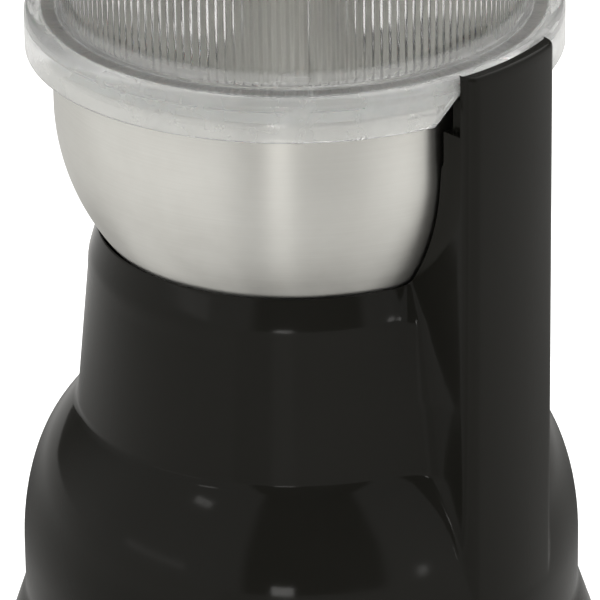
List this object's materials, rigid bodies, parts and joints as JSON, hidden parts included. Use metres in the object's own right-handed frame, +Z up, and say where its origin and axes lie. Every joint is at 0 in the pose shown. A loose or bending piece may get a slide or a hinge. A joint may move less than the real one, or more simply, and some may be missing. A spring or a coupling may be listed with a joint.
{
  "type": "electric spice grinder",
  "caption": "Press-lid spice mill: lift-out steel bowl with blade, ribbed clear lid, black motor base and a switch pillar.",
  "frame": {"origin": "centre of the footprint on the table", "axes": "+Z up along the motor shaft, +X towards the switch pillar, -Y the front"},
  "size_m": [0.126, 0.126, 0.2],
  "materials": {
    "base_gloss": "polished moulding",
    "inner_plastic": "plain moulding",
    "rubber": "matt",
    "pale_plastic": "plain moulding",
    "capacitor_yellow": "plain moulding",
    "lead_brown": "smooth sleeve",
    "lead_blue": "smooth sleeve",
    "bracket_aluminium": "die cast",
    "lamination_steel": "stacked sheet",
    "copper": "enamelled wire and bars",
    "brass": "plain",
    "carbon": "sintered",
    "switch_blue": "plain moulding",
    "switch_red": "plain moulding",
    "coupling_black": "firm rubber",
    "bowl_steel": "satin brushed around",
    "blade_steel": "ground",
    "lid_clear": "clear, ribbed inside",
    "seal_silicone": "soft silicone",
    "steel_hardware": "zinc plated"
  },
  "bodies": {
    "base": {"housing": "base_gloss", "bottom_cover": "inner_plastic", "foot_1": "rubber", "foot_2": "rubber", "foot_3": "rubber", "foot_4": "rubber", "cover_screw_1": "steel_hardware", "cover_screw_2": "steel_hardware", "cover_screw_3": "steel_hardware", "cover_screw_4": "steel_hardware", "cord_gland": "rubber", "cord_clamp": "pale_plastic", "clamp_screw_1": "steel_hardware", "clamp_screw_2": "steel_hardware", "terminal_block": "pale_plastic", "capacitor": "capacitor_yellow", "lead_live": "lead_brown", "lead_neutral": "lead_blue", "well_seal": "rubber", "motor_top_bracket": "bracket_aluminium", "motor_bottom_bracket": "bracket_aluminium", "motor_mount_1": "rubber", "motor_mount_2": "rubber", "motor_mount_3": "rubber", "motor_mount_4": "rubber", "mount_screw_1": "steel_hardware", "mount_screw_2": "steel_hardware", "mount_screw_3": "steel_hardware", "mount_screw_4": "steel_hardware", "motor_bolt_1": "steel_hardware", "motor_bolt_2": "steel_hardware", "stator_core": "lamination_steel", "field_coil_1": "copper", "field_coil_2": "copper", "bearing_top": "steel_hardware", "bearing_bottom": "steel_hardware", "brush_holder_1": "brass", "brush_holder_2": "brass", "carbon_brush_1": "carbon", "carbon_brush_2": "carbon", "microswitch": "switch_blue", "switch_screw_1": "steel_hardware", "switch_screw_2": "steel_hardware", "rod_spring": "steel_hardware"},
    "push_rod": {"push_rod": "steel_hardware", "switch_plunger": "switch_red"},
    "rotor": {"motor_shaft": "steel_hardware", "armature_core": "lamination_steel", "armature_winding": "copper", "commutator": "copper", "cooling_fan": "inner_plastic", "drive_coupling": "coupling_black"},
    "bowl": {"bowl": "bowl_steel", "bowl_hub": "inner_plastic", "hub_nut": "steel_hardware", "bowl_bush": "brass"},
    "blade": {"blade_shaft": "blade_steel", "blade": "blade_steel"},
    "seal": {"lid_seal": "seal_silicone"},
    "lid": {"lid_cover": "lid_clear"}
  },
  "joints": [
    {"name": "motor_spin", "type": "hinge", "parent": "base", "child": "rotor", "pos_m": [0, 0, 0.05], "axis": [0, 0, 1], "continuous": true},
    {"name": "bowl_lift", "type": "slide", "parent": "base", "child": "bowl", "axis": [0, 0, 1], "range_m": [0, 0.075]},
    {"name": "blade_spin", "type": "hinge", "parent": "bowl", "child": "blade", "pos_m": [0, 0, 0.095], "axis": [0, 0, 1], "continuous": true},
    {"name": "lid_lift", "type": "slide", "parent": "bowl", "child": "seal", "axis": [0, 0, 1], "range_m": [0, 0.06]},
    {"name": "lid_press", "type": "slide", "parent": "seal", "child": "lid", "axis": [0, 0, 1], "range_m": [-0.0015, 0], "stiffness_N_per_m": 3000, "springref_m": 0.001, "deforming": ["lid_seal"]},
    {"name": "rod_travel", "type": "slide", "parent": "base", "child": "push_rod", "axis": [0, 0, 1], "range_m": [-0.0016, 0.0001], "deforming": ["rod_spring"]}
  ],
  "couplings": [
    {"joint": "blade_spin", "follows": "motor_spin", "ratio": 1},
    {"joint": "rod_travel", "follows": "lid_press", "ratio": 1}
  ]
}
